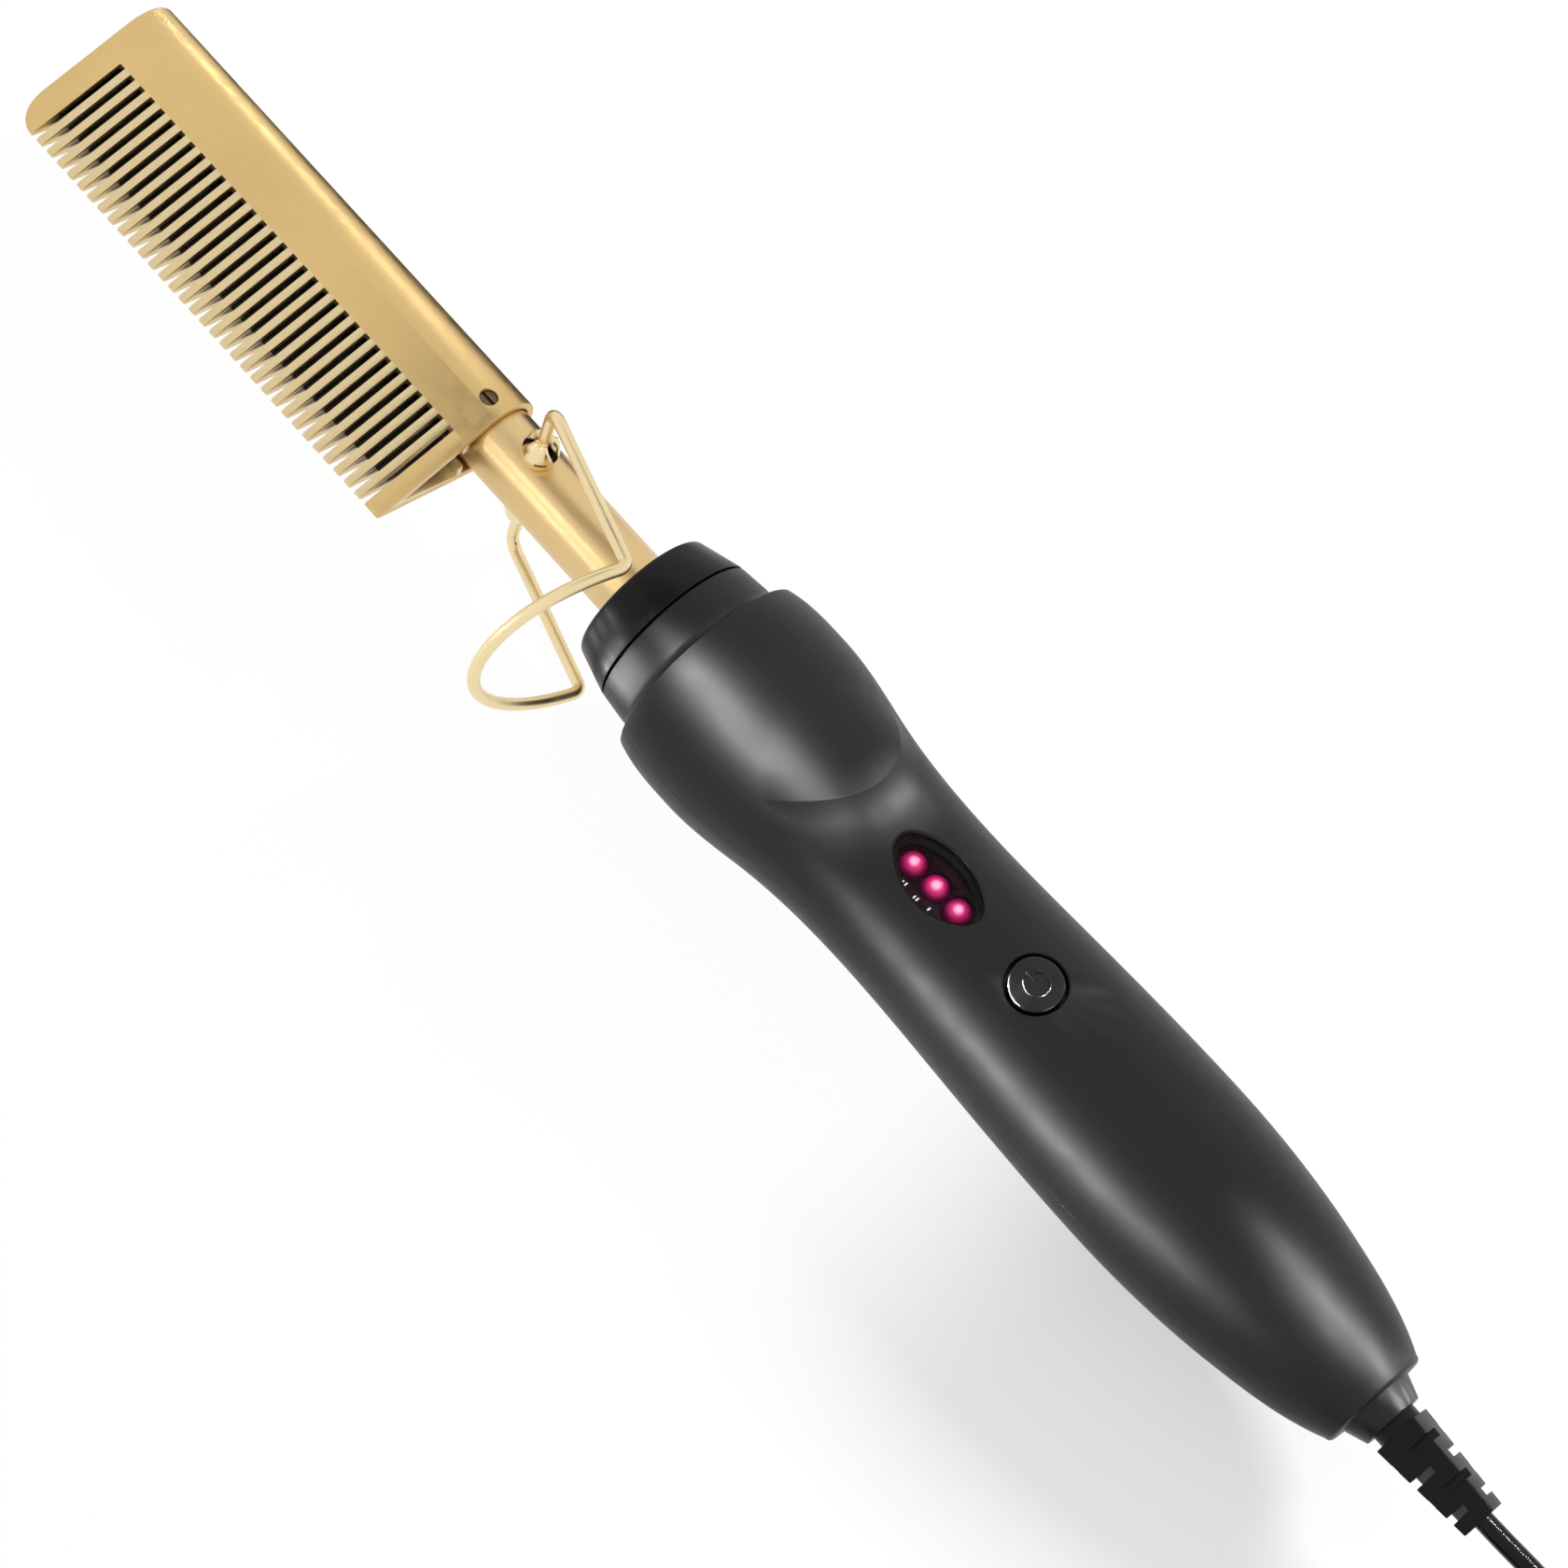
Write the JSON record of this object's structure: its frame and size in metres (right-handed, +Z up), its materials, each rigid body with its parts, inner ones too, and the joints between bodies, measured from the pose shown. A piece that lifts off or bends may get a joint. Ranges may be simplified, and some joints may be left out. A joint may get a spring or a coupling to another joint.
{
  "type": "hot comb",
  "caption": "Electric straightening comb: slotted gold head on a heated tube with a folding wire rest, round dark handle with a lamp window and power button, swivel lead and mains plug.",
  "frame": {"origin": "middle of the comb's footprint, on the floor under the wire rest's lower leg; the lead, its coil and the plug are left out of the middle", "axes": "+X along the shank from the comb to the lead, +Y from the teeth to the spine, +Z up through the blade's flat"},
  "size_m": [0.3918, 0.0769, 0.0414],
  "materials": {
    "gold_head": "satin, gold anodised",
    "gold_tube": "satin, gold plated",
    "gold_wire": "bright, gold plated",
    "dark_screw": "dull",
    "heater_ceramic": "matt",
    "amber_film": "gloss",
    "bar_aluminium": "extruded",
    "sensor_glass": "gloss",
    "white_leads": "matt",
    "guard_mica": "matt",
    "black_gloss": "gloss",
    "brown_bush": "matt",
    "clip_steel": "plated",
    "charcoal_shell": "satin",
    "smoky_lens": "clear gloss, smoky",
    "lamp_magenta": "gloss, lit",
    "board_green": "satin",
    "board_parts": "mixed",
    "switch_black": "matt",
    "switch_white": "matt",
    "charcoal_button": "satin",
    "grey_sleeve": "satin",
    "contact_brass": "bright",
    "brown_leads": "matt",
    "black_rubber": "satin",
    "black_cord": "gloss",
    "tie_black": "matt",
    "plug_black": "satin",
    "pin_nickel": "bright"
  },
  "bodies": {
    "handle": {"comb_head": "gold_head", "lock_screw": "dark_screw", "heater_core": "heater_ceramic", "heater_film": "amber_film", "heat_bars": "bar_aluminium", "temperature_sensor": "sensor_glass", "heater_leads": "white_leads", "guard_strip": "guard_mica", "shank_tube": "gold_tube", "hinge_studs": "gold_wire", "front_cap": "black_gloss", "tube_bush": "brown_bush", "tube_clip": "clip_steel", "handle_shell_top": "charcoal_shell", "handle_shell_bottom": "charcoal_shell", "handle_screws": "clip_steel", "window_lens": "smoky_lens", "signal_lamps": "lamp_magenta", "circuit_board": "board_green", "board_parts": "board_parts", "switch_body": "switch_black", "brush_holder": "brown_bush", "brush_springs": "contact_brass", "mains_leads": "brown_leads", "cord_lead": "black_cord", "cord_coil": "black_cord", "coil_tie": "tie_black", "cord_tail": "black_cord", "plug_body": "plug_black", "plug_pins": "pin_nickel"},
    "rest": {"wire_rest": "gold_wire"},
    "button": {"power_button": "charcoal_button", "switch_plunger": "switch_white"},
    "swivel": {"swivel_sleeve": "grey_sleeve", "contact_rings": "contact_brass", "strain_relief": "black_rubber"}
  },
  "joints": [
    {"name": "rest_hinge", "type": "hinge", "parent": "handle", "child": "rest", "pos_m": [-0.05715, 0.0058, 0.0207], "axis": [0, 0, 1], "range_deg": [-75, 27]},
    {"name": "power_press", "type": "slide", "parent": "handle", "child": "button", "axis": [0, 0.1736, -0.9848], "range_m": [0, 0.0006], "stiffness_N_per_m": 800},
    {"name": "lead_swivel", "type": "hinge", "parent": "handle", "child": "swivel", "pos_m": [0.13, 0.0058, 0.0207], "axis": [1, 0, 0], "continuous": true}
  ]
}
